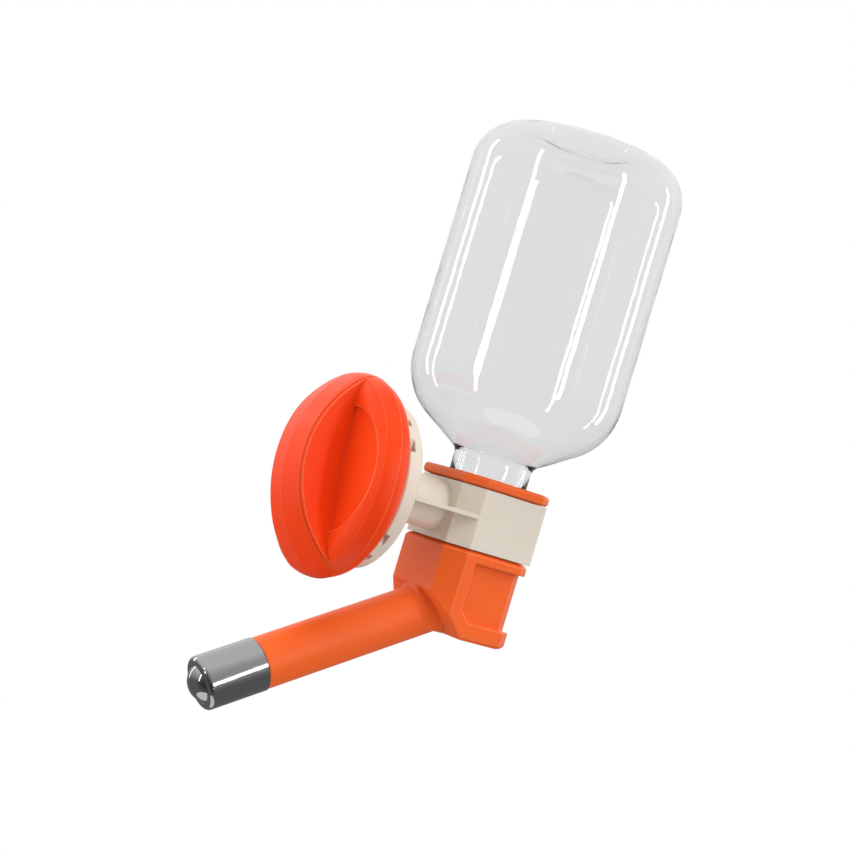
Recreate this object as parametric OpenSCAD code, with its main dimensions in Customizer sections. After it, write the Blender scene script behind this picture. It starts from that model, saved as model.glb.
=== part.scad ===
// Small-animal drinker that hangs on a wire cage: an upturned bottle in a feeder head, a bracket with
// a clamp knob, and a spout with a ball nozzle. The stud's axis on the clamp face is the origin,
// +Z is up along the bottle, and -Y points through the cage wires toward the animal.

/* [Bottle] */
// Outside diameter of the bottle's body
bottle_d = 70; // [54:1:90]
// Length of the bottle from its mouth to its base
bottle_len = 130.6; // [110:0.2:180]
// Thickness of the bottle's wall
bottle_wall = 0.8; // [0.6:0.1:1.2]
// Radius of the rounded shoulder
shoulder_r = 22; // [14:1:24]
// Slope of the shoulder's cone down to the neck, in degrees
shoulder_slope = 33; // [25:1:40]
// Radius of the rounded edge of the base
base_edge_r = 14; // [6:1:16]
// Depth of the push-up in the base
push_up = 3.5; // [2:0.5:6]
// Outside diameter of the neck
neck_d = 25.8; // [24:0.2:26.4]
// Diameter of the neck's bore
neck_bore_d = 21.8; // [19:0.2:22.4]
// Outside diameter of the neck's thread
thread_d = 27.4; // [26.6:0.1:27.6]
// Length of neck that shows above the head
neck_show = 7; // [5:0.5:12]
// Distance between turns of the neck's thread
neck_pitch = 3.2; // [2.4:0.1:3.6]

/* [Feeder head] */
// Width of the head from side to side
head_w = 35.5; // [35:0.5:44]
// Depth of the head from front to back
head_d = 33; // [32.5:0.5:40]
// Length of the head's cut corners along each side
head_corner = 5.9; // [4:0.1:7]
// Thickness of the top flange
flange_t = 3.2; // [2.4:0.1:4.5]
// How far the top flange stands out past the lips
flange_over = 0.4; // [0.2:0.1:1]
// Height of the head below the bracket
lower_h = 27.9; // [26:0.5:40]
// Thickness of the lip under the bracket
mid_lip_t = 3.5; // [2.5:0.5:5]
// Thickness of the lip along the bottom
low_lip_t = 5.6; // [4:0.1:8]
// Depth of the recesses in the sides and back
recess = 1.75; // [1:0.25:2]
// Width of the rib in front of each side recess
rib_w = 3.6; // [2.5:0.1:6]
// Height of the straight front wall below the bracket
front_wall_h = 15.3; // [12:0.1:20]
// Depth of the neck socket below the top
socket_depth = 18.8; // [14:0.2:22]
// Radius of the water chamber under the socket
chamber_r = 10.4; // [8:0.2:10.6]
// Height of the chamber's floor over the head's underside
chamber_floor_h = 10.4; // [8:0.2:14]
// Radius of the sump under the chamber
sump_r = 6; // [4:0.2:6.4]
// Depth of the sump
sump_depth = 5; // [3:0.2:5.2]
// Thickness of the bottle's gasket
gasket_t = 1.7; // [1:0.1:2.5]

/* [Spout and nozzle] */
// Angle of the spout below level, in degrees
spout_angle = 30; // [20:1:40]
// Outside diameter of the spout tube
spout_d = 16.4; // [15:0.2:20]
// Diameter of the water way through the spout
spout_bore_d = 10; // [6:0.5:11]
// Length of the spout from the head's sloped front to the nozzle
spout_len = 59; // [40:1:90]
// Length of the nozzle sleeve
sleeve_len = 20.2; // [18:0.2:26]
// Outside diameter of the nozzle sleeve
sleeve_d = 16.9; // [16:0.1:20]
// Diameter of the ball
ball_d = 13.5; // [11:0.1:13.8]
// Hole in the nozzle's rim as a share of the ball's diameter
rim_hole_share = 0.852; // [0.8:0.002:0.88]
// How far the ball can be pushed in
ball_travel = 2; // [1:0.1:2.5]
// Length of the spigot inside the sleeve
spigot_len = 4; // [4:0.5:6]
// Diameter of the spring's wire
spring_wire = 0.6; // [0.4:0.1:0.8]

/* [Bracket] */
// Distance from the clamp face to the bottle's axis
arm_reach = 43; // [40:1:60]
// Height of the collar above the stud's axis
collar_up = 9.1; // [8.6:0.1:14]
// Height of the collar below the stud's axis
collar_down = 10.2; // [8.6:0.1:14]
// Thickness of the collar's wall
collar_wall = 1.6; // [1.4:0.1:2]
// Diameter of the round arm
arm_d = 16.6; // [14:0.2:17]
// Diameter of the hollow core of the arm
arm_core_d = 9; // [6:0.5:11]
// Thickness of the gusset fins
fin_t = 1.4; // [1:0.1:2.5]
// Diameter of the clamp plate
plate_d = 52.8; // [44:0.2:60]
// Thickness of the clamp plate
plate_t = 3.2; // [2.5:0.1:5]
// Height of the clamp plate's rim
rim_h = 1.9; // [0.8:0.1:1.9]
// Width of the clamp plate's rim
rim_w = 4.4; // [3:0.2:6]
// Number of upright slots across the rim, for the cage wires
slots = 8; // [2:2:8]
// Width of each slot
slot_w = 2.4; // [1.6:0.1:3]
// Place of the outermost slots as a share of the plate's radius
slot_spread = 0.82; // [0.7:0.01:0.84]
// Diameter of the clamp stud
stud_d = 11.8; // [10:0.2:13]
// Length of the clamp stud
stud_len = 11.4; // [10:0.2:11.4]
// Length of the plain neck at the stud's root
stud_neck = 4; // [3:0.5:5]
// Distance between turns of the stud's thread
stud_pitch = 2; // [1.6:0.1:2.2]

/* [Knob] */
// Diameter of the knob
knob_d = 65; // [56:1:76]
// Height of the grip ridge's crest over the knob's back
knob_h = 27.4; // [25:0.2:32]
// Radius of the knob's rounded edge
knob_edge_r = 9; // [8:0.5:10]
// Radius of the dome that bounds the grip ridge
dome_r = 40; // [37:1:48]
// Gap between the clamp plate and the knob when it is screwed home
knob_gap = 2.4; // [2.2:0.1:4]
// Half of the grip ridge's width at its middle
grip_x = 9.6; // [7:0.1:12]
// Radius of the ridge's hollow sides, seen from the front
grip_side_r = 150; // [90:5:300]
// Fall of the ridge's two roof faces from the crest line, in degrees
roof_fall = 7.5; // [7.5:0.5:12]
// Height of the finger floors over the knob's back
finger_floor = 13.6; // [12:0.1:15]
// Radius of the half-round sink in each finger floor
sink_r = 19.7; // [14:0.1:20.5]
// Depth of the half-round sinks
sink_depth = 0.9; // [0.5:0.1:1.5]
// Angle that the knob has been turned to, in degrees
knob_turn = 10.8; // [0:0.1:90]
// Diameter of the thread insert
insert_d = 17; // [15.5:0.5:20]
// Thickness of the knob's moulded walls
knob_wall = 2.2; // [1.6:0.1:3]

/* [Fits] */
// Gap above and below the collar, between the head's flange and lip
collar_gap = 0.3; // [0.2:0.05:0.6]
// Sliding clearance between the collar and the head, on each side
slide_gap = 0.15; // [0.1:0.05:0.3]
// Radial clearance round the neck's thread, the gasket and the ball
run_gap = 0.1; // [0.05:0.01:0.15]
// Radial clearance round the thread insert and the stud
thread_gap = 0.05; // [0.02:0.01:0.1]

/* [Hidden] */
$fn = 96;
EPS = 0.01;

ORANGE = "#f4602f";
CREAM = "#e3dbd0";
CLEAR = [0.86, 0.88, 0.90, 0.45];
STEEL = "#b9bcc0";
SILICONE = "#e8e8e4";

// Heights on the bottle's axis, from the stud's axis
waist_lo = -collar_down - collar_gap;
waist_hi = collar_up + collar_gap;
head_top = waist_hi + flange_t;
head_bottom = waist_lo - lower_h;
socket_floor = head_top - socket_depth;
chamber_floor = head_bottom + chamber_floor_h;
mouth_z = socket_floor + gasket_t;
base_z = mouth_z + bottle_len;
neck_top = head_top + neck_show;

// Feeder head: the waist runs in the collar, and the front is cut off on a 45 degree slope
waist_w = head_w - 2 * (collar_wall + slide_gap);
waist_d = head_d - 2 * (collar_wall + slide_gap);
OCTAGON_SHARE = 2 - sqrt(2);
socket_r = thread_d / 2 + run_gap + 0.05;
slope_top = waist_lo - front_wall_h;
slope_drop = slope_top - head_bottom;
slope_foot = -head_d / 2 + slope_drop;
collar_back = 13;

// Spout: its axis leaves the middle of the sloped front
spout_r = spout_d / 2;
spout_y = -head_d / 2 + slope_drop * 0.54;
spout_z = slope_top - slope_drop * 0.54;
spout_in = 7;
root_r = spout_r + 2.6;

// Nozzle, measured along the spout from its root
joint_at = spout_len;
rim_at = joint_at + sleeve_len;
sleeve_r = sleeve_d / 2;
ball_r = ball_d / 2;
ball_bore_r = ball_r + run_gap;
rim_hole_d = ball_d * rim_hole_share;
rim_t = 1.2;
seal_t = 2.1;
seal_r = ball_bore_r + 0.75;
spigot_r = ball_bore_r + 0.35;
seat_at = joint_at + spigot_len;
seat_t = 1.6;
ball_at = rim_at - sqrt(ball_r * ball_r - pow(rim_hole_d / 2, 2)) - 0.2;
spring_r = 3.3;
spring_from = seat_at + seat_t;
spring_to = ball_at - sqrt(ball_r * ball_r - spring_r * spring_r) - spring_wire / 2;
spring_turns = 3;
ring_wire = 1.2;

// Knob, measured from the clamp face
knob_r = knob_d / 2;
knob_back = knob_gap;
apex = knob_back + knob_h;
dome_z = apex - dome_r;
edge_z = dome_z + sqrt(pow(dome_r - knob_edge_r, 2) - pow(knob_r - knob_edge_r, 2));
tangent_a = atan2(edge_z - dome_z, knob_r - knob_edge_r);
seam_r = knob_edge_r - 0.35;
back_r = knob_edge_r - 0.7;
back_a = -asin(min(1, (edge_z - knob_back) / back_r));
floor_z = knob_back + finger_floor;
floor_soft_r = 8;
insert_r = insert_d / 2;
insert_start = knob_back + 1.8;
insert_len = 7.6;
insert_end = insert_start + insert_len;
clamp_ring_r = plate_d / 2 - rim_w - 0.6;

// Points of an arc in the plane, from one angle to another
function arc(x, y, r, from, to, steps) =
    [for (i = [0 : steps]) let (a = from + (to - from) * i / steps) [x + r * cos(a), y + r * sin(a)]];

// Outline of the bottle from its neck to the middle of its base, moved inward by a wall's thickness
function bottle_side(neck_r, inset) =
    let (body_r = bottle_d / 2,
         mid_z = neck_top + shoulder_mid(),
         shoulder = arc(body_r - shoulder_r, mid_z, shoulder_r - inset, shoulder_slope - 90, 0, 12),
         from_neck = shoulder[0][1] - (shoulder[0][0] - neck_r) * tan(shoulder_slope))
    concat([[neck_r, from_neck]],
           shoulder,
           arc(body_r - base_edge_r, base_z - base_edge_r, base_edge_r - inset, 0, 80, 10),
           [[16, base_z - inset]],
           [[13, base_z - push_up * 0.45 - inset],
            [7, base_z - push_up * 0.9 - inset],
            [0, base_z - push_up - inset]]);

// Height from the neck's top to the middle of the shoulder's arc
function shoulder_mid() =
    (bottle_d / 2 - shoulder_r + shoulder_r * sin(shoulder_slope) - neck_d / 2) * tan(shoulder_slope)
    + shoulder_r * cos(shoulder_slope);

// Ridges of a thread as rings: [radius, height] points from z0 up to z1
function thread_rings(root_r, crest_r, z0, z1, pitch) =
    [for (z = [z0 : pitch : z1 - pitch * 0.7], p = [[root_r, 0], [crest_r, 0.22], [crest_r, 0.42],
                                                    [root_r, 0.64]]) [p[0], z + p[1] * pitch]];

// Outline of the eight-sided head at any size
module octagon(w, d, c) {
    x = w / 2;
    y = d / 2;
    polygon([[-x, -y + c], [-x + c, -y], [x - c, -y], [x, -y + c],
             [x, y - c], [x - c, y], [-x + c, y], [-x, y - c]]);
}

// Slab of the head's outline with softened edges
module soft_slab(w, d, c, z0, z1, soft) {
    hull() {
        translate([0, 0, z0 + soft])
            linear_extrude(z1 - z0 - 2 * soft) octagon(w, d, c);
        translate([0, 0, z0])
            linear_extrude(z1 - z0) octagon(w - 2 * soft, d - 2 * soft, c - soft * OCTAGON_SHARE);
    }
}

// Places its children on the bottle's axis
module on_bottle() {
    translate([0, arm_reach, 0]) children();
}

// Places its children on the spout's axis, with +Z running from the root to the nozzle
module on_spout(at = 0) {
    on_bottle() translate([0, spout_y, spout_z]) rotate([90 + spout_angle, 0, 0])
        translate([0, 0, at]) children();
}

// Places its children on the stud's axis, with +Z running out from the clamp face
module on_stud() {
    rotate([90, 0, 0]) children();
}

module bottle() {
    outer = concat([[neck_d / 2 - 0.4, mouth_z], [neck_d / 2, mouth_z + 0.4]],
                   thread_rings(neck_d / 2, thread_d / 2, mouth_z + 1.5, head_top - 2, neck_pitch),
                   bottle_side(neck_d / 2, 0));
    inner = concat([[neck_bore_d / 2, mouth_z]], bottle_side(neck_bore_d / 2, bottle_wall));
    color(CLEAR) on_bottle()
        rotate_extrude()
            polygon(concat(outer, [for (i = [len(inner) - 1 : -1 : 0]) inner[i]]));
}

module bottle_gasket() {
    color(SILICONE) on_bottle() translate([0, 0, socket_floor])
        difference() {
            cylinder(r = socket_r - run_gap, h = gasket_t);
            translate([0, 0, -1]) cylinder(r = chamber_r, h = gasket_t + 2);
        }
}

// What is cut from the head's sides and back: all outside the core, behind the rib
module side_recess() {
    top = waist_lo - mid_lip_t;
    low = head_bottom + low_lip_t;
    front = -head_d / 2 + head_corner + rib_w;
    slope_at_low = slope_foot - low_lip_t + rib_w * sqrt(2) + 1.2;
    difference() {
        rotate([90, 0, 90]) translate([0, 0, -head_w])
            linear_extrude(2 * head_w)
                polygon([[front, top], [head_d, top], [head_d, low], [slope_at_low, low],
                         [front, low + slope_at_low - front]]);
        translate([0, 0, head_bottom - 1])
            linear_extrude(lower_h + 2)
                octagon(head_w - 2 * recess, head_d - 2 * recess, head_corner - recess * OCTAGON_SHARE);
    }
}

// What is cut off below the head's front wall
module front_slope() {
    far = 4;
    rotate([90, 0, 90]) translate([0, 0, -head_w])
        linear_extrude(2 * head_w)
            polygon([[-head_d / 2 - far, slope_top + far], [slope_foot + far, head_bottom - far],
                     [-head_d / 2 - far, head_bottom - far]]);
}

module feeder_head() {
    color(ORANGE) difference() {
        union() {
            on_bottle() {
                soft_slab(head_w + 2 * flange_over, head_d + 2 * flange_over, head_corner,
                          waist_hi, head_top, 0.7);
                translate([0, 0, waist_lo - 1])
                    linear_extrude(waist_hi - waist_lo + 2)
                        octagon(waist_w, waist_d, head_corner - (collar_wall + slide_gap) * OCTAGON_SHARE);
                difference() {
                    soft_slab(head_w, head_d, head_corner, head_bottom, waist_lo, 1.1);
                    side_recess();
                    front_slope();
                }
            }
            on_spout(-spout_in) cylinder(r = spout_r, h = joint_at + spout_in);
            spout_root();
            on_spout(joint_at - 1) cylinder(r = spigot_r, h = spigot_len + 1);
        }
        on_bottle() {
            translate([0, 0, socket_floor]) cylinder(r = socket_r, h = socket_depth + 1);
            translate([0, 0, chamber_floor])
                cylinder(r = chamber_r, h = socket_floor - chamber_floor + EPS);
            translate([0, 0, chamber_floor - sump_depth]) cylinder(r = sump_r, h = sump_depth + 1);
        }
        on_spout(-spout_in) cylinder(r = spout_bore_d / 2, h = spout_in + joint_at + spigot_len + 1);
        on_spout(joint_at + 1.2) spigot_groove();
    }
}

// Spread root of the spout, kept inside the head's own outline
module spout_root() {
    intersection() {
        on_spout(-1) cylinder(r1 = root_r, r2 = spout_r, h = 6.5);
        on_bottle() soft_slab(head_w, head_d, head_corner, head_bottom, waist_lo, 1.1);
    }
}

// Groove round the spigot that holds the O-ring
module spigot_groove() {
    difference() {
        cylinder(r = spigot_r + 1, h = ring_wire + 0.2);
        translate([0, 0, -1]) cylinder(r = spigot_r - ring_wire + 0.05, h = ring_wire + 3);
    }
}

module nozzle_o_ring() {
    color("#303030") on_spout(joint_at + 1.3 + ring_wire / 2)
        rotate_extrude() translate([spigot_r - ring_wire / 2 + 0.05, 0]) circle(d = ring_wire - 0.1, $fn = 24);
}

// Sleeve: a counterbore over the spigot, the ball's guide, and a rolled rim that keeps the ball in
module nozzle_sleeve() {
    roll = 1.5;
    bead_r = sleeve_r - roll;
    color(STEEL) on_spout(joint_at)
        rotate_extrude()
            polygon(concat([[spigot_r + 0.02, 0], [sleeve_r - 0.3, 0], [sleeve_r, 0.3]],
                           arc(bead_r, sleeve_len - roll, roll, 0, 90, 8),
                           [[rim_hole_d / 2 + 0.3, sleeve_len], [rim_hole_d / 2, sleeve_len - 0.15],
                            [rim_hole_d / 2 + 0.67, sleeve_len - rim_t], [seal_r, sleeve_len - rim_t],
                            [seal_r, sleeve_len - rim_t - seal_t - 0.1],
                            [ball_bore_r, sleeve_len - rim_t - seal_t - 0.1],
                            [ball_bore_r, spigot_len + 0.2], [spigot_r + 0.02, spigot_len + 0.2]]));
}

module nozzle_ball() {
    color(STEEL) on_spout(ball_at) sphere(r = ball_r);
}

// Soft ring in a groove behind the rim; its tapered bore is the seat that the ball closes on
module ball_seal_ring() {
    far = sleeve_len - rim_t - 0.05;
    near = far - seal_t;
    color(SILICONE) on_spout(joint_at)
        rotate_extrude()
            polygon([[ball_bore_r, near], [seal_r - 0.05, near], [seal_r - 0.05, far],
                     [rim_hole_d / 2 + 0.72, far]]);
}

// Perforated disc on the spigot's end that the spring stands on
module spring_seat() {
    holes = 6;
    color("#f2f2f0") on_spout(seat_at + 0.25) difference() {
        union() {
            cylinder(r = ball_bore_r - 0.05, h = seat_t - 0.3);
            translate([0, 0, -2]) cylinder(r = spout_bore_d / 2 - 0.1, h = 2.1);
        }
        translate([0, 0, -3]) cylinder(r = 1.2, h = 6);
        for (i = [0 : holes - 1])
            rotate([0, 0, i * 360 / holes]) translate([3.1, 0, -3]) cylinder(r = 0.9, h = 6, $fn = 24);
    }
}

// Round wire swept along a helix
module valve_spring() {
    steps = 20;
    sides = 8;
    rings = ceil(spring_turns * steps);
    rise = spring_to - spring_from - spring_wire;
    pts = [for (i = [0 : rings], k = [0 : sides - 1])
        let (a = 360 * i / steps, b = 360 * k / sides,
             r = spring_r + spring_wire / 2 * cos(b),
             z = spring_wire / 2 + rise * i / rings + spring_wire / 2 * sin(b))
        [r * cos(a), r * sin(a), z]];
    side_faces = [for (i = [0 : rings - 1], k = [0 : sides - 1])
        let (n = (k + 1) % sides)
        [i * sides + k, i * sides + n, (i + 1) * sides + n, (i + 1) * sides + k]];
    start_face = [[for (k = [sides - 1 : -1 : 0]) k]];
    end_face = [[for (k = [0 : sides - 1]) rings * sides + k]];
    color(STEEL) on_spout(spring_from)
        polyhedron(concat(pts), concat(start_face, side_faces, end_face), convexity = 8);
}

// Outline of the collar: cut front corners and straight arms that end behind the head
module collar_outline(w, d, c, back) {
    x = w / 2;
    y = d / 2;
    polygon([[-x, back], [-x, -y + c], [-x + c, -y], [x - c, -y], [x, -y + c], [x, back]]);
}

module collar() {
    inner_w = head_w - 2 * collar_wall;
    inner_d = head_d - 2 * collar_wall;
    inner_c = head_corner - collar_wall * OCTAGON_SHARE;
    on_bottle() translate([0, 0, -collar_down]) difference() {
        linear_extrude(collar_up + collar_down)
            collar_outline(head_w, head_d, head_corner, collar_back);
        translate([0, 0, -1]) linear_extrude(collar_up + collar_down + 2)
            collar_outline(inner_w, inner_d, inner_c, head_d);
    }
}

// Flat fins that run from the collar's corners to the clamp plate, level with the stud
module gusset_fins() {
    collar_y = arm_reach - head_d / 2;
    x = head_w / 2;
    near = arm_d / 2 + 2.2;
    translate([0, 0, -fin_t / 2]) linear_extrude(fin_t)
        polygon([[-x, collar_y + head_corner], [-near, plate_t - 0.5], [near, plate_t - 0.5],
                 [x, collar_y + head_corner], [x - head_corner, collar_y + 0.5],
                 [-x + head_corner, collar_y + 0.5]]);
}

// Clamp plate with a raised rim; upright slots across the rim take the cage wires
module clamp_plate() {
    soft = 0.8;
    r = plate_d / 2;
    outer_slot = r * slot_spread;
    step = 2 * outer_slot / (slots - 1);
    on_stud() {
        difference() {
            rotate_extrude()
                polygon([[0, -plate_t], [r - soft, -plate_t], [r, soft - plate_t], [r, rim_h - 0.4],
                         [r - 0.4, rim_h], [r - rim_w, rim_h], [r - rim_w, 0], [0, 0]]);
            for (i = [0 : slots - 1])
                translate([i * step - outer_slot - slot_w / 2, -plate_d, 0])
                    cube([slot_w, 2 * plate_d, rim_h + 1]);
        }
    }
}

// Stud with a plain neck and a thread drawn as rings
module clamp_stud() {
    r = stud_d / 2;
    root = r - 0.7;
    on_stud() rotate_extrude()
        polygon(concat([[0, -1], [r, -1], [r, stud_neck], [root, stud_neck + 0.4]],
                       thread_rings(root, r, stud_neck + 0.8, stud_len - 0.4, stud_pitch),
                       [[root, stud_len - 0.4], [root - 0.4, stud_len], [0, stud_len]]));
}

module bracket() {
    color(CREAM) difference() {
        union() {
            collar();
            gusset_fins();
            clamp_plate();
            clamp_stud();
            translate([0, plate_t / 2, 0]) rotate([-90, 0, 0])
                cylinder(r = arm_d / 2, h = arm_reach - head_d / 2 - plate_t / 2 + collar_wall / 2);
        }
        translate([0, plate_t + 1, 0]) rotate([-90, 0, 0])
            cylinder(r = arm_core_d / 2, h = arm_reach - head_d / 2 + collar_wall);
    }
}

// Solid of the knob: flat back, rounded edge with two fine seams, and domed front
module knob_body() {
    rotate_extrude()
        polygon(concat([[0, knob_back]],
                       arc(knob_r - knob_edge_r, edge_z, back_r, back_a, -34, 6),
                       arc(knob_r - knob_edge_r, edge_z, seam_r, -34, -6, 5),
                       arc(knob_r - knob_edge_r, edge_z, knob_edge_r, -6, tangent_a, 18),
                       arc(0, dome_z, dome_r, tangent_a + 1, 90, 24)));
}

// Everything on one side of the grip ridge: its wall is a large cylinder, so the ridge is waisted
module beside_ridge(back = 0) {
    intersection() {
        translate([grip_x - back + grip_side_r, 0, knob_back - 1])
            cylinder(r = grip_side_r, h = knob_h + 10, $fn = 180);
        translate([0, -knob_d, knob_back - 1]) cube([knob_d, 2 * knob_d, knob_h + 10]);
    }
}

// Lower half of the knob: a flat finger floor that rounds down to the edge
module floor_body() {
    far = knob_r + 1.5;
    rotate_extrude()
        polygon(concat([[0, 0], [far, 0]],
                       arc(far - floor_soft_r, floor_z - floor_soft_r, floor_soft_r, 0, 90, 12),
                       [[0, floor_z]]));
}

// What is cut from one side: the finger space, its half-round sink and a narrow step along the ridge
module finger_cut() {
    difference() {
        beside_ridge();
        floor_body();
    }
    intersection() {
        beside_ridge();
        translate([grip_x, 0, floor_z - sink_depth]) cylinder(r = sink_r, h = knob_h);
    }
    difference() {
        beside_ridge(1.1);
        translate([0, 0, -0.5]) knob_body();
    }
}

// Roof of the ridge: two broad cylinders that meet along the crest line
module ridge_roof() {
    intersection_for (side = [-1, 1])
        translate([0, 0, apex]) rotate([0, side * roof_fall, 0]) translate([0, 0, -dome_r])
            rotate([0, 90, 0]) cylinder(r = dome_r, h = 2 * knob_d, center = true, $fn = 180);
}

// Hollow behind the knob's floor, between the hub and the clamping ring
module knob_hollow() {
    hub_r = insert_r + knob_wall;
    translate([0, 0, knob_back - 1]) difference() {
        cylinder(r = clamp_ring_r - 0.4, h = floor_z - knob_wall - knob_back + 1);
        translate([0, 0, -1]) cylinder(r = hub_r, h = floor_z + 2);
    }
}

module knob() {
    color(ORANGE) on_stud() rotate([0, 0, knob_turn]) difference() {
        union() {
            intersection() {
                knob_body();
                ridge_roof();
            }
            intersection() {
                knob_body();
                floor_body();
            }
        }
        finger_cut();
        rotate([0, 0, 180]) finger_cut();
        knob_hollow();
        translate([0, 0, knob_back - 1])
            cylinder(r = insert_r + thread_gap, h = insert_end - knob_back + 1.2);
    }
}

module knob_thread_insert() {
    color(CREAM) on_stud() difference() {
        translate([0, 0, insert_start]) cylinder(r = insert_r, h = insert_len);
        translate([0, 0, knob_back]) cylinder(r = stud_d / 2 + thread_gap, h = insert_end);
    }
}

bottle();
bottle_gasket();
feeder_head();
nozzle_sleeve();
nozzle_ball();
ball_seal_ring();
valve_spring();
spring_seat();
nozzle_o_ring();
bracket();
knob();
knob_thread_insert();
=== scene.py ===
# %% [markdown]
# A cage drinker, finished in Blender on top of its CAD frame.
# The frame gives every rigid piece at its real size and place, in metres, with +Z up the bottle and
# -Y through the cage wires. This lesson adds what the frame can't hold: how each plastic, metal and
# seal looks, a smooth blown bottle, a newly wound spring, the camera and the light.

# %% Load the frame
import bpy
import bmesh
import math
from mathutils import Matrix, Vector


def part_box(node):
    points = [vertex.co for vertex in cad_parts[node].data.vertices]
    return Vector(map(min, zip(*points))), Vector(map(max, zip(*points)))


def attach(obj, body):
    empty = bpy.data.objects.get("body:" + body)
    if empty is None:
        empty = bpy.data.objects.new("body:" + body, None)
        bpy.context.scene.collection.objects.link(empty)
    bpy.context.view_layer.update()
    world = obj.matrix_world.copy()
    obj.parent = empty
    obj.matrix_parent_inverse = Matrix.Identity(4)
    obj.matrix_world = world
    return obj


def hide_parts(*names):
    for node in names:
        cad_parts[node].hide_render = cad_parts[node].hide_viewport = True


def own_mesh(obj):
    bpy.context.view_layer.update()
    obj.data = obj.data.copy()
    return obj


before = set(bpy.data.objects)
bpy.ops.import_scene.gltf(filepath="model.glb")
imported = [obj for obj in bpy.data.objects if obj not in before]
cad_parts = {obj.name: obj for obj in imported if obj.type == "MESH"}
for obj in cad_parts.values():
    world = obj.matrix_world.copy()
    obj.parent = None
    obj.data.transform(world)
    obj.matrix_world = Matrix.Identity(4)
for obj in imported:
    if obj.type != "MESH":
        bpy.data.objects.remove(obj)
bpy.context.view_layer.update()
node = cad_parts

# %% [markdown]
# Every material here is a Principled shader with a little procedural detail, because moulded plastic is
# never perfectly even. The detail could come from pictures wrapped round each piece, but noise needs no
# unwrapping and leaves no seams. The first helpers make the shader and the nodes that feed it, and the
# next ones let its roughness, its surface and its colour wander with noise. Values that are the same all
# over are set on the shader's own sockets.


# %% Helpers that make and join shader nodes
def finish(name, colour, roughness, metallic=0.0, ior=1.47):
    """A new material and its shader."""
    material = bpy.data.materials.new(name)
    material.use_nodes = True
    shader = material.node_tree.nodes["Principled BSDF"]
    shader.inputs["Base Color"].default_value = (*colour, 1.0)
    shader.inputs["Roughness"].default_value = roughness
    shader.inputs["Metallic"].default_value = metallic
    shader.inputs["IOR"].default_value = ior
    return material, shader


def add(owner, kind, **settings):
    """A new node in a material or in the world; each setting is a socket's value or a property."""
    made = owner.node_tree.nodes.new(kind)
    for key, value in settings.items():
        if key in made.inputs:
            made.inputs[key].default_value = value
        else:
            setattr(made, key, value)
    return made


def join(owner, out_socket, in_socket):
    """A link from one node's output to another's input."""
    owner.node_tree.links.new(out_socket, in_socket)


def remap(owner, source, start, end, at_start, at_end, **settings):
    """Carries a value from the span start..end to the span at_start..at_end."""
    span = add(owner, "ShaderNodeMapRange", **settings)
    for socket, value in zip(span.inputs[1:5], (start, end, at_start, at_end)):
        socket.default_value = value
    join(owner, source, span.inputs["Value"])
    return span.outputs["Result"]


def noise(material, scale, detail=3.0):
    """Noise over the piece's own coordinates; a bigger scale makes it finer."""
    place = add(material, "ShaderNodeTexCoord")
    grain = add(material, "ShaderNodeTexNoise", Scale=scale, Detail=detail)
    join(material, place.outputs["Object"], grain.inputs["Vector"])
    return grain.outputs["Fac"]


# %% Helpers that make a surface uneven
def uneven(material, shader, low, high, scale):
    """Roughness that wanders between two values."""
    wander = remap(material, noise(material, scale), 0.0, 1.0, low, high)
    join(material, wander, shader.inputs["Roughness"])


def soft_corners(material, radius):
    """The surface's direction with its corners rounded over by a radius."""
    return add(material, "ShaderNodeBevel", Radius=radius, samples=6).outputs["Normal"]


def fine_bump(material, shader, scale, strength, depth=0.0001, edge=0.0):
    """Small unevenness of a surface; edge is the radius that corners are softened to."""
    bump = add(material, "ShaderNodeBump", Strength=strength, Distance=depth)
    join(material, noise(material, scale), bump.inputs["Height"])
    if edge:
        join(material, soft_corners(material, edge), bump.inputs["Normal"])
    join(material, bump.outputs["Normal"], shader.inputs["Normal"])


def tone(material, shader, dark, light, scale):
    """Base colour that drifts between two close tones."""
    blend = add(material, "ShaderNodeMix", data_type="RGBA")
    blend.inputs["A"].default_value = (*dark, 1.0)
    blend.inputs["B"].default_value = (*light, 1.0)
    join(material, noise(material, scale, detail=2.0), blend.inputs["Factor"])
    join(material, blend.outputs["Result"], shader.inputs["Base Color"])


def let_light_in(shader, shine, weight, spread, depth):
    """How much a plastic shines, and how far each colour of light travels inside it."""
    shader.inputs["Specular IOR Level"].default_value = shine
    shader.inputs["Subsurface Weight"].default_value = weight
    shader.inputs["Subsurface Radius"].default_value = spread
    shader.inputs["Subsurface Scale"].default_value = depth


# %% A helper that dresses a piece
def dress(name, material):
    """Gives a CAD node its finish."""
    mesh = node[name].data
    mesh.materials.clear()
    mesh.materials.append(material)
    print(name, "is finished in", material.name)
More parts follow.
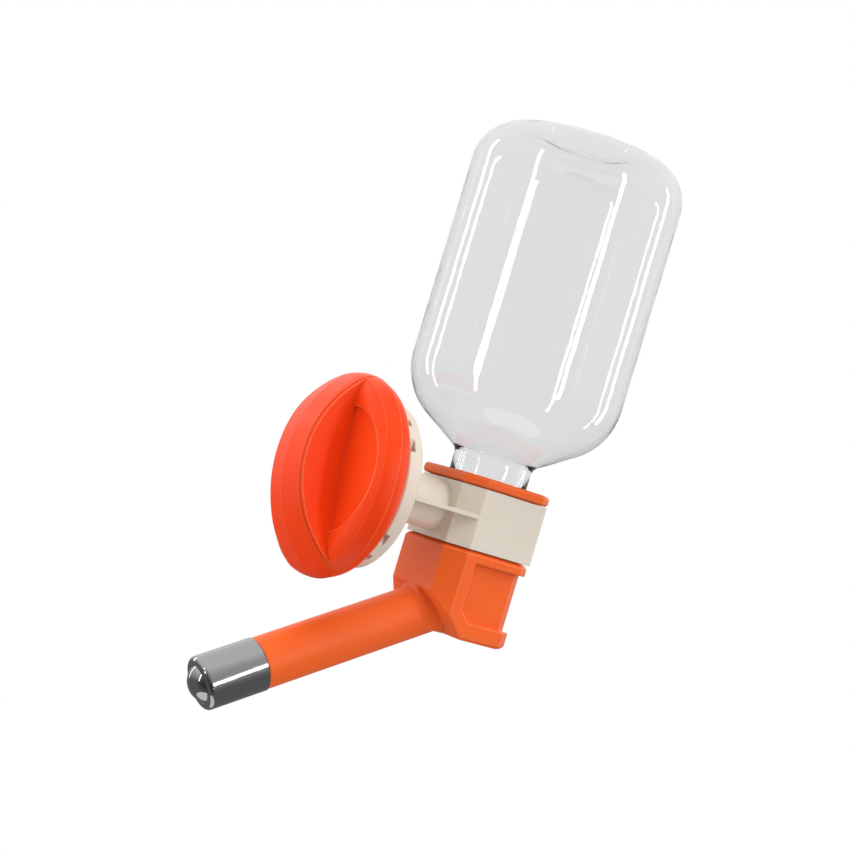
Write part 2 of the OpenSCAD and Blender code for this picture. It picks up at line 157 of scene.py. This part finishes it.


# %% [markdown]
# The feeder head and the knob are moulded in orange plastic, the knob in a redder and slightly glossier
# one. It is a strong colour that light enters a little way, so the shader gets some subsurface scatter,
# a satin gloss and a fine pebble from the mould. Along the outward corners a lighter orange is mixed
# into the base colour: a painted highlight for the light lines that rounded edges catch. Geometry nodes
# could find those corners too, but the shader finds them by itself, where a softened normal and the real
# one differ.


# %% Orange plastic
def painted_edge_highlight(material, shader, colour, radius):
    """Mixes a painted highlight, a lighter colour, into the base colour along outward corners."""
    # The lighter colour here is a painted highlight on outward corners, kept off inward creases by the
    # occlusion test.
    flat = add(material, "ShaderNodeNewGeometry")
    match = add(material, "ShaderNodeVectorMath", operation="DOT_PRODUCT")
    join(material, soft_corners(material, radius), match.inputs[0])
    join(material, flat.outputs["Normal"], match.inputs[1])
    corner = remap(material, match.outputs["Value"], start=0.997, end=0.96, at_start=0.0, at_end=0.55)
    open_air = add(material, "ShaderNodeAmbientOcclusion", Distance=0.0012, samples=6)
    outward = remap(material, open_air.outputs["AO"], start=0.75, end=0.97, at_start=0.0, at_end=1.0)
    share = add(material, "ShaderNodeMath", operation="MULTIPLY")
    join(material, corner, share.inputs[0])
    join(material, outward, share.inputs[1])
    blend = add(material, "ShaderNodeMix", data_type="RGBA")
    blend.inputs["B"].default_value = (*colour, 1.0)
    join(material, shader.inputs["Base Color"].links[0].from_socket, blend.inputs["A"])
    join(material, share.outputs["Value"], blend.inputs["Factor"])
    join(material, blend.outputs["Result"], shader.inputs["Base Color"])


def orange_plastic(name, dark, light, low, high):
    """Orange between two tones, with a roughness between two values."""
    material, shader = finish(name, light, roughness=0.34)
    tone(material, shader, dark, light, scale=60)
    # A painted highlight: lighter orange along the outward corners.
    painted_edge_highlight(material, shader, colour=(0.95, 0.30, 0.13), radius=0.0006)
    uneven(material, shader, low, high, scale=45)
    fine_bump(material, shader, scale=900, strength=0.10, edge=0.0009)
    let_light_in(shader, shine=0.15, weight=0.18, spread=(1.0, 0.35, 0.12), depth=0.0025)
    return material


head_orange = orange_plastic("orange_head_plastic", dark=(0.86, 0.125, 0.020),
                             light=(0.90, 0.145, 0.028), low=0.30, high=0.40)
knob_orange = orange_plastic("orange_knob_plastic", dark=(0.82, 0.046, 0.004),
                             light=(0.87, 0.058, 0.006), low=0.28, high=0.38)
dress("feeder_head", head_orange)
dress("knob", knob_orange)

# %% [markdown]
# The bracket is a warm cream plastic, a little translucent and rougher than the orange. Its noise is
# coarser, because the big flat walls of the collar show the slight waviness of a moulding. The thread
# insert in the knob is given the same plastic.

# %% Cream plastic
cream, cream_shader = finish("cream_plastic", (0.72, 0.65, 0.56), roughness=0.42)
tone(cream, cream_shader, dark=(0.70, 0.63, 0.535), light=(0.75, 0.68, 0.585), scale=50)
uneven(cream, cream_shader, low=0.34, high=0.46, scale=40)
fine_bump(cream, cream_shader, scale=500, strength=0.10, edge=0.0005)
let_light_in(cream_shader, shine=0.35, weight=0.12, spread=(1.0, 0.75, 0.5), depth=0.002)
dress("bracket", cream)
dress("knob_thread_insert", cream)

# %% [markdown]
# The nozzle is a chromed sleeve round a steel ball. Both are mirror-like, so what they show is the room:
# the strip lights give the long bright lines, and the darker side of the room behind the camera gives
# the deep grey bands that make metal read as metal. A trace of unevenness in the roughness keeps them
# from looking drawn.


# %% Chrome and steel
def plain_finish(name, colour, roughness, low, high, scale, metallic=0.0):
    """One colour all over, with a roughness that wanders between two values."""
    material, shader = finish(name, colour, roughness, metallic)
    uneven(material, shader, low, high, scale)
    return material


chrome = plain_finish("polished_chrome", (0.34, 0.34, 0.35), 0.08,
                      low=0.05, high=0.12, scale=300, metallic=1.0)
steel = plain_finish("polished_steel", (0.36, 0.355, 0.35), 0.06,
                     low=0.04, high=0.10, scale=400, metallic=1.0)
spring_steel = plain_finish("drawn_spring_wire", (0.55, 0.56, 0.57), 0.3,
                            low=0.2, high=0.35, scale=800, metallic=1.0)
dress("nozzle_sleeve", chrome)
dress("nozzle_ball", steel)
dress("valve_spring", spring_steel)

# %% [markdown]
# Three kinds of piece keep the water in and hold the valve: pale silicone seals at the bottle's mouth
# and round the ball, a black rubber ring on the spout's end, and a white disc that the spring stands on.
# They are dull beside the metal and hardly seen, so one plain colour each is enough.

# %% Seals and disc
silicone = plain_finish("pale_silicone", (0.72, 0.72, 0.70), 0.5, low=0.42, high=0.58, scale=200)
rubber = plain_finish("black_rubber", (0.02, 0.02, 0.02), 0.6, low=0.5, high=0.7, scale=300)
white = plain_finish("white_plastic", (0.80, 0.80, 0.78), 0.45, low=0.38, high=0.5, scale=150)
dress("bottle_gasket", silicone)
dress("ball_seal_ring", silicone)
dress("nozzle_o_ring", rubber)
dress("spring_seat", white)

# %% [markdown]
# A bottle is blown inside a mould, so every curve in it is smooth. It could stay the CAD solid, but
# clear plastic shows each facet by bending the light, so it is turned again here as a fine lathe: one
# outline of the wall, outside and in, spun in 192 steps. The neck gets a true helical thread, and the
# base has its shallow push-up.

# %% Measure the bottle from the frame
low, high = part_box("bottle")
axis_y = (low[1] + high[1]) / 2
body_r = (high[0] - low[0]) / 2
mouth_z = low[2]
base_z = high[2]
neck_top = mouth_z + 0.0241
neck_r = 0.0129
bore_r = 0.0116
wall_depth = 0.0008
print("bottle radius", round(body_r, 4), "from", round(mouth_z, 4), "to", round(base_z, 4))


# %% The bottle's outline
def arc(r, z, radius, start, end, steps):
    """Points of an arc about (r, z), between two angles in degrees."""
    angles = [math.radians(start + (end - start) * i / steps) for i in range(steps + 1)]
    return [(r + radius * math.cos(a), z + radius * math.sin(a)) for a in angles]


def push_up(inset, start_r=0.0185, drop=0.0001, depth=0.0030, steps=16):
    """The dip in the base, from its edge to a point on the axis."""
    line = []
    for i in range(1, steps + 1):
        dip = depth * (0.5 - 0.5 * math.cos(math.pi * i / steps))
        line.append((start_r * (1 - i / steps), base_z - inset - drop - dip))
    return line


def wall_line(start_r, inset):
    """Outline from the neck up to the middle of the base, moved inward by inset."""
    shoulder_r, slope, edge_r, bend_r = 0.022, 33.0, 0.014, 0.0030
    tan = math.tan(math.radians(slope))
    lift = (body_r - shoulder_r + shoulder_r * math.sin(math.radians(slope)) - neck_r) * tan
    mid = neck_top + lift + shoulder_r * math.cos(math.radians(slope))
    shoulder = arc(body_r - shoulder_r, mid, shoulder_r - inset, start=slope - 90, end=0, steps=28)
    start_z = shoulder[0][1] - (shoulder[0][0] - start_r) * tan
    reach = bend_r * math.tan(math.radians((90 - slope) / 2))
    neck_curve = arc(start_r + bend_r, start_z - reach, bend_r, start=180, end=90 + slope, steps=10)
    edge = arc(body_r - edge_r, base_z - edge_r, edge_r - inset, start=0, end=84, steps=24)
    return neck_curve + shoulder + edge + push_up(inset)


lip = 0.0004
outer_line = [(neck_r - lip, mouth_z), (neck_r, mouth_z + lip)] + wall_line(neck_r, 0.0)
inner_line = [(bore_r, mouth_z)] + wall_line(bore_r, wall_depth)
print("points outside", len(outer_line), "and inside", len(inner_line))


# %% Spin the wall
def as_object(name, shape, flat_ends=False):
    """Turns a built shape into an object with smooth faces; a bar's end caps can stay flat."""
    bmesh.ops.recalc_face_normals(shape, faces=shape.faces)
    for face in shape.faces:
        face.smooth = not flat_ends or len(face.verts) == 4
    mesh = bpy.data.meshes.new(name)
    shape.to_mesh(mesh)
    shape.free()
    made = bpy.data.objects.new(name, mesh)
    bpy.context.scene.collection.objects.link(made)
    return made


def about_axis(r, angle, z):
    """A point at a radius and an angle round the bottle's axis."""
    return r * math.cos(angle), axis_y + r * math.sin(angle), z


def spin(name, line, steps, on_axis=1e-6):
    """Turns an (r, z) outline about the bottle's axis; a point on the axis becomes one vertex."""
    shape = bmesh.new()
    rings = []
    for r, z in line:
        around = [2 * math.pi * i / steps for i in range(steps if r > on_axis else 1)]
        rings.append([shape.verts.new(about_axis(r, a, z)) for a in around])
    for a, b in zip(rings, rings[1:] + rings[:1]):
        for i in range(steps):
            j = (i + 1) % steps
            if len(a) == 1 and len(b) == 1:
                break
            if len(a) == 1:
                shape.faces.new((a[0], b[j], b[i]))
            elif len(b) == 1:
                shape.faces.new((a[i], a[j], b[0]))
            else:
                shape.faces.new((a[i], a[j], b[j], b[i]))
    return as_object(name, shape)


bottle = spin("blown_bottle", outer_line + list(reversed(inner_line)), steps=192)
print("bottle wall:", len(bottle.data.polygons), "faces")

# %% [markdown]
# The thread on the neck is a low rounded ridge that climbs round it. Rings would look almost the same
# from far off, but through clear plastic the far side shows, and only a helix crosses itself there as a
# real thread does. Its section is carried round in small steps and fades away at both ends.


# %% The neck's thread
def skin(shape, rows):
    """Faces between a row of closed sections, with a cap at each end."""
    count = len(rows[0])
    for a, b in zip(rows, rows[1:]):
        for k in range(count):
            n = (k + 1) % count
            shape.faces.new((a[k], b[k], b[n], a[n]))
    shape.faces.new(list(reversed(rows[0])))
    shape.faces.new(rows[-1])


def thread_turns(name, root_r, crest_r, start_z, turns, pitch, width, steps=96):
    """A round-topped thread that fades in and out at its ends."""
    section = [(-0.5, 0.0), (-0.34, 0.45), (-0.18, 0.9), (0.0, 1.0), (0.18, 0.9), (0.34, 0.45), (0.5, 0.0)]
    sunk, fade_speed = 0.0002, 8
    shape = bmesh.new()
    rows = []
    total = int(turns * steps)
    for i in range(total + 1):
        share = i / total
        fade = min(1.0, share * fade_speed, (1 - share) * fade_speed)
        angle = 2 * math.pi * i / steps
        row = []
        for along, out in section:
            r = root_r - sunk + (crest_r - root_r + sunk) * out * fade
            z = start_z + pitch * i / steps + along * width
            row.append(shape.verts.new(about_axis(r, angle, z)))
        rows.append(row)
    skin(shape, rows)
    return as_object(name, shape)


thread = thread_turns("bottle_thread", root_r=neck_r, crest_r=0.0136, start_z=mouth_z + 0.0030,
                      turns=3.2, pitch=0.0032, width=0.0017)
print("thread:", len(thread.data.polygons), "faces")

# %% [markdown]
# Clear bottle plastic is nearly invisible face on and turns grey where the wall is seen edge on. It is
# treated like glass: full transmission, a very low roughness and an index of 1.45, a little under the
# 1.57 of real bottle plastic. A base colour just under white takes a little of the light at each pass
# through the wall, and a shallow bump gives the faint waves of a blown surface.

# %% Clear plastic
clear, clear_shader = finish("clear_pet", (0.955, 0.962, 0.968), roughness=0.015, ior=1.45)
clear_shader.inputs["Transmission Weight"].default_value = 1.0
fine_bump(clear, clear_shader, scale=70, strength=0.22, depth=0.0004)
for piece in (bottle, thread):
    piece.data.materials.append(clear)
    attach(piece, "bottle")
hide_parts("bottle")
print("the clear wall stands for the CAD bottle")

# %% [markdown]
# The valve's spring gets shorter when the ball is pushed in, which a rigid CAD solid can't show. A new
# wire is wound here between the perforated disc and the ball, just long enough that the wire and the
# ball touch. It is wound at rest, and its length when pressed is printed.


# %% The spring
def wind(name, start, along, length, coil_r, wire_r, turns, steps=64, sides=12):
    """A round wire wound about an axis from a starting point."""
    shape = bmesh.new()
    side = Vector((1.0, 0.0, 0.0))
    other = along.cross(side)
    rings = []
    for i in range(turns * steps + 1):
        angle = 2 * math.pi * i / steps
        out = math.cos(angle) * side + math.sin(angle) * other
        middle = start + along * (wire_r + (length - 2 * wire_r) * i / (turns * steps))
        ring = []
        for k in range(sides):
            b = 2 * math.pi * k / sides
            place = middle + out * (coil_r + wire_r * math.cos(b)) + along * wire_r * math.sin(b)
            ring.append(shape.verts.new(place))
        rings.append(ring)
    skin(shape, rings)
    return as_object(name, shape, flat_ends=True)


ball_low, ball_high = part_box("nozzle_ball")
ball_centre = (Vector(ball_low) + Vector(ball_high)) / 2
ball_r = (ball_high[0] - ball_low[0]) / 2
disc_to_centre = 0.01087
coil_r, wire_r, travel = 0.0033, 0.0003, 0.002
spout_slope = math.radians(30)
outward = Vector((0.0, -math.cos(spout_slope), -math.sin(spout_slope)))
disc = ball_centre - outward * disc_to_centre
length = disc_to_centre - math.sqrt(ball_r ** 2 - coil_r ** 2) - wire_r
spring = wind("wound_spring", disc, outward, length, coil_r, wire_r, turns=3)
spring.data.materials.append(spring_steel)
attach(spring, "feeder")
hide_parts("valve_spring")
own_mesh(spring)
print("spring", round(length * 1000, 2), "mm long")
print("and", round((length - travel) * 1000, 2), "mm when pressed")

# %% [markdown]
# The camera stands about sixty degrees round from the knob's face, a little below the middle of the
# drinker, and looks up by about two degrees. It is rolled by about seventeen degrees, so the bottle
# leans in the view. A fairly long lens keeps the near knob from looking too big beside the bottle.

# %% Camera
turn, tip_up, roll = math.radians(58.651), math.radians(2.412), math.radians(16.872)
stand = (0.5115, -0.2972, -0.0023)
back = Vector((math.sin(turn) * math.cos(tip_up), -math.cos(turn) * math.cos(tip_up), -math.sin(tip_up)))
right = Vector((math.cos(turn), math.sin(turn), 0.0))
up = back.cross(right)
cam_x = math.cos(roll) * right + math.sin(roll) * up
cam_y = -math.sin(roll) * right + math.cos(roll) * up
lens = bpy.data.cameras.new("camera")
lens.lens = 80.64
lens.sensor_width = 36.0
camera = bpy.data.objects.new("camera", lens)
bpy.context.scene.collection.objects.link(camera)
camera.matrix_world = Matrix.Translation(stand) @ Matrix((cam_x, cam_y, back)).transposed().to_4x4()
bpy.context.scene.camera = camera
print("camera at", [round(v, 4) for v in camera.location])

# %% [markdown]
# A small shiny product is lit by tall softboxes either side of the camera, which draw the long upright
# lines on the bottle, with two more behind the drinker for its rims. Big soft fill lights above, beside
# and below would show as white patches in the chrome and the clear wall, so they are hidden from both.
# A bright room alone would light it evenly and draw no lines.

# %% Lights
middle_y = 0.02
centre = Vector((0.0, middle_y, 0.03))


def softbox(name, around, height, distance, wide, tall, power, mirrored=True):
    """A rectangular light at so many degrees round from the camera; one that isn't mirrored only fills."""
    angle = turn + math.radians(around)
    place = centre + Vector((math.sin(angle) * distance, -math.cos(angle) * distance, height))
    lamp = bpy.data.lights.new(name, "AREA")
    lamp.shape = "RECTANGLE"
    lamp.size = wide
    lamp.size_y = tall
    lamp.energy = power
    holder = bpy.data.objects.new(name, lamp)
    bpy.context.scene.collection.objects.link(holder)
    holder.location = place
    holder.rotation_euler = (centre - place).to_track_quat("-Z", "Y").to_euler()
    holder.visible_glossy = mirrored
    holder.visible_transmission = mirrored
    print(name, [round(v, 3) for v in place])


def strip(name, around, wide, power):
    """A tall narrow softbox that the object mirrors."""
    softbox(name, around, height=0.10, distance=0.80, wide=wide, tall=0.70, power=power)


def fill(name, around, height, distance, power):
    """A big square softbox that only fills the shadows."""
    softbox(name, around, height, distance, wide=0.60, tall=0.60, power=power, mirrored=False)


strip("left_strip", around=-48, wide=0.05, power=0.9)
strip("right_strip", around=46, wide=0.06, power=1.5)
strip("left_rim", around=-118, wide=0.05, power=0.6)
strip("right_rim", around=112, wide=0.05, power=0.8)
fill("overhead", around=10, height=0.90, distance=0.50, power=4.2)
fill("left_fill", around=-85, height=-0.10, distance=0.80, power=3.0)
fill("right_fill", around=40, height=0.10, distance=0.80, power=0.8)
fill("under_fill", around=-10, height=-0.70, distance=0.40, power=2.0)

# %% [markdown]
# The room is white where the camera looks at it. What the object mirrors is softer: bright above and to
# the sides, and darker behind the camera and below, as in a studio. Without that difference chrome has
# nothing to show. What is seen through the clear plastic is an even pale backdrop.

# %% Room
all_white = (1.0, 1.0, 1.0, 1.0)
world = bpy.data.worlds.new("studio")
bpy.context.scene.world = world
world.use_nodes = True
ray_direction = add(world, "ShaderNodeTexCoord").outputs["Generated"]


def shade(direction, start, end, at_start, at_end):
    """Brightness that changes with the angle between a ray and a direction."""
    across = add(world, "ShaderNodeVectorMath", operation="DOT_PRODUCT")
    across.inputs[1].default_value = direction
    join(world, ray_direction, across.inputs[0])
    angle = across.outputs["Value"]
    return remap(world, angle, start, end, at_start, at_end, interpolation_type="SMOOTHSTEP")


skyward = (0.0, 0.0, 1.0)
to_camera = (math.sin(turn), -math.cos(turn), 0.0)
both = add(world, "ShaderNodeMath", operation="MULTIPLY")
join(world, shade(skyward, start=-0.35, end=0.55, at_start=0.22, at_end=1.15), both.inputs[0])
join(world, shade(to_camera, start=0.35, end=0.90, at_start=1.0, at_end=0.35), both.inputs[1])
ray = add(world, "ShaderNodeLightPath")
through = add(world, "ShaderNodeMix", B=0.80)
join(world, ray.outputs["Is Transmission Ray"], through.inputs["Factor"])
join(world, both.outputs["Value"], through.inputs["A"])
room = add(world, "ShaderNodeBackground", Color=all_white)
join(world, through.outputs["Result"], room.inputs["Strength"])
backdrop = world.node_tree.nodes["Background"]
backdrop.inputs["Color"].default_value = all_white
backdrop.inputs["Strength"].default_value = 1.0
pick = add(world, "ShaderNodeMixShader")
join(world, ray.outputs["Is Camera Ray"], pick.inputs["Fac"])
join(world, room.outputs["Background"], pick.inputs[1])
join(world, backdrop.outputs["Background"], pick.inputs[2])
join(world, pick.outputs["Shader"], world.node_tree.nodes["World Output"].inputs["Surface"])
print("the room's nodes:", len(world.node_tree.nodes))

# %% [markdown]
# A drinker hangs on its cage, so nothing stands on the floor. A plain pale disc lies far enough down
# that no shadow falls in view.

# %% Floor
floor_r, floor_z, floor_steps = 0.32, -0.60, 96
floor_turn = [2 * math.pi * i / floor_steps for i in range(floor_steps)]
rim_points = [(floor_r * math.cos(a), middle_y + floor_r * math.sin(a), floor_z) for a in floor_turn]
floor_mesh = bpy.data.meshes.new("floor")
floor_mesh.from_pydata(rim_points, [], [tuple(range(floor_steps))])
floor_mesh.materials.append(finish("pale_floor", (0.86, 0.86, 0.86), roughness=0.7)[0])
floor = bpy.data.objects.new("floor", floor_mesh)
bpy.context.scene.collection.objects.link(floor)
bpy.context.scene.view_settings.view_transform = "Standard"
print("floor at", floor_z)
